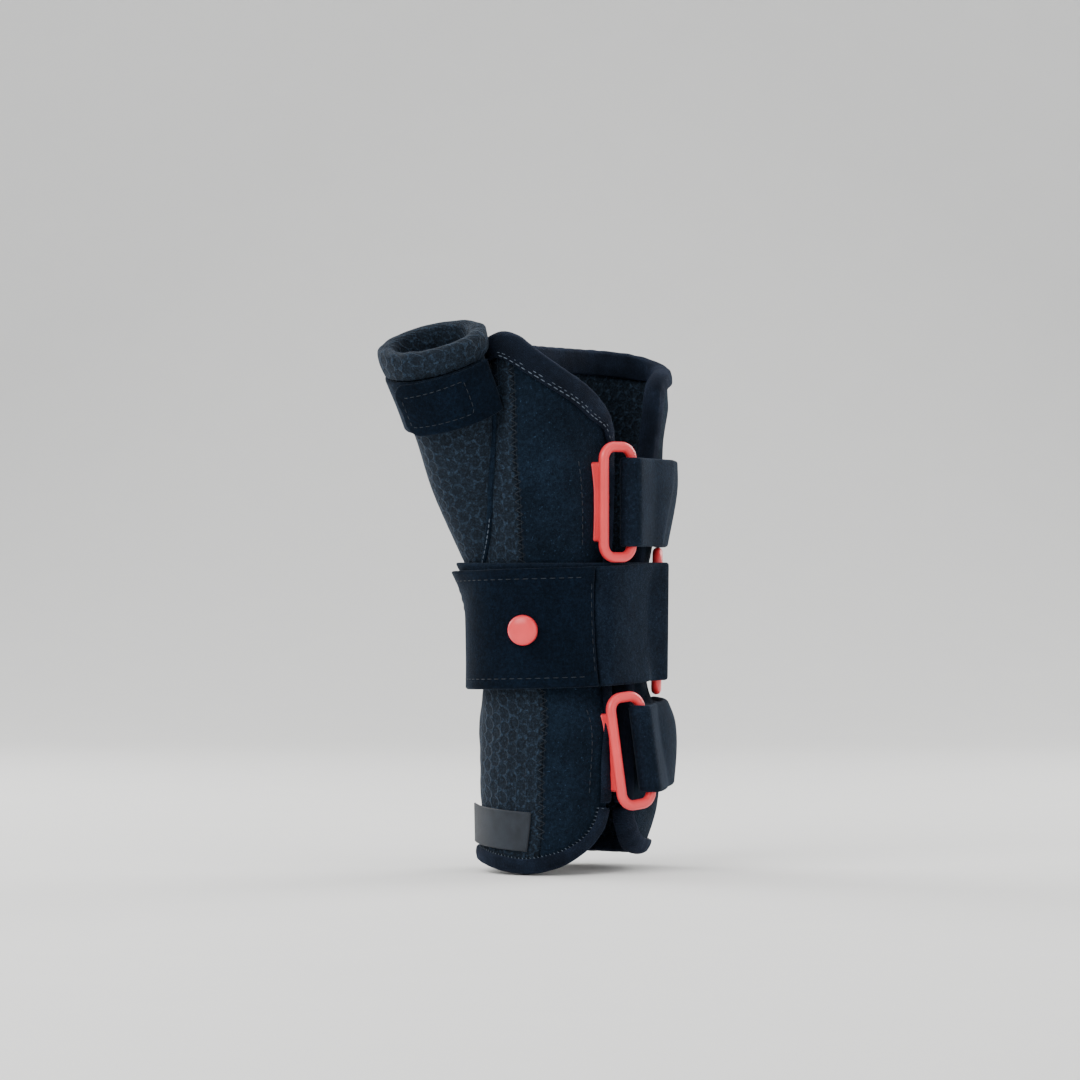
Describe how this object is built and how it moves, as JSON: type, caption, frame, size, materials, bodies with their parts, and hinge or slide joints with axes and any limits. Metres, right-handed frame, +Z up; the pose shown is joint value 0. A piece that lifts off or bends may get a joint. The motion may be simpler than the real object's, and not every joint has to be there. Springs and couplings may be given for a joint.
{
  "type": "thumb spica splint",
  "caption": "Dark wrist and thumb splint of padded cloth with bound edges, three wide straps folded round coral red moulded rings, and a banded thumb sleeve.",
  "frame": {"origin": "the middle of the wrist opening, at the narrowest level of the splint", "axes": "+Z runs up the hand towards the fingers, the back of the hand faces +X and the thumb side faces -Y, with the back turned 33 degrees from +X towards -Y"},
  "size_m": [0.1001, 0.0918, 0.1826],
  "materials": {
    "velour": "dark navy brushed loop cloth, matte with a faint bloom",
    "mesh": "dark navy spacer mesh with small honeycomb cells",
    "tape": "dark navy smooth stretch binding with pale edge stitches",
    "webbing": "dark navy brushed strap cloth with tone-on-tone stitching",
    "ring": "coral red moulded plastic, semi-gloss",
    "label": "slate grey woven tape, bare"
  },
  "bodies": {
    "root": {"radial_panel": "velour", "palmar_panel": "mesh", "ulnar_panel": "velour", "hand_binding": "tape", "cuff_binding": "tape", "thumb_sleeve": "mesh", "thumb_binding": "tape", "thumb_band": "webbing", "thumb_tab": "webbing", "hand_strap": "webbing", "wrist_strap": "webbing", "wrist_tab": "webbing", "forearm_strap": "webbing", "hand_ring": "ring", "wrist_ring": "ring", "forearm_ring": "ring", "strap_button": "ring", "side_label": "label"}
  },
  "joints": []
}
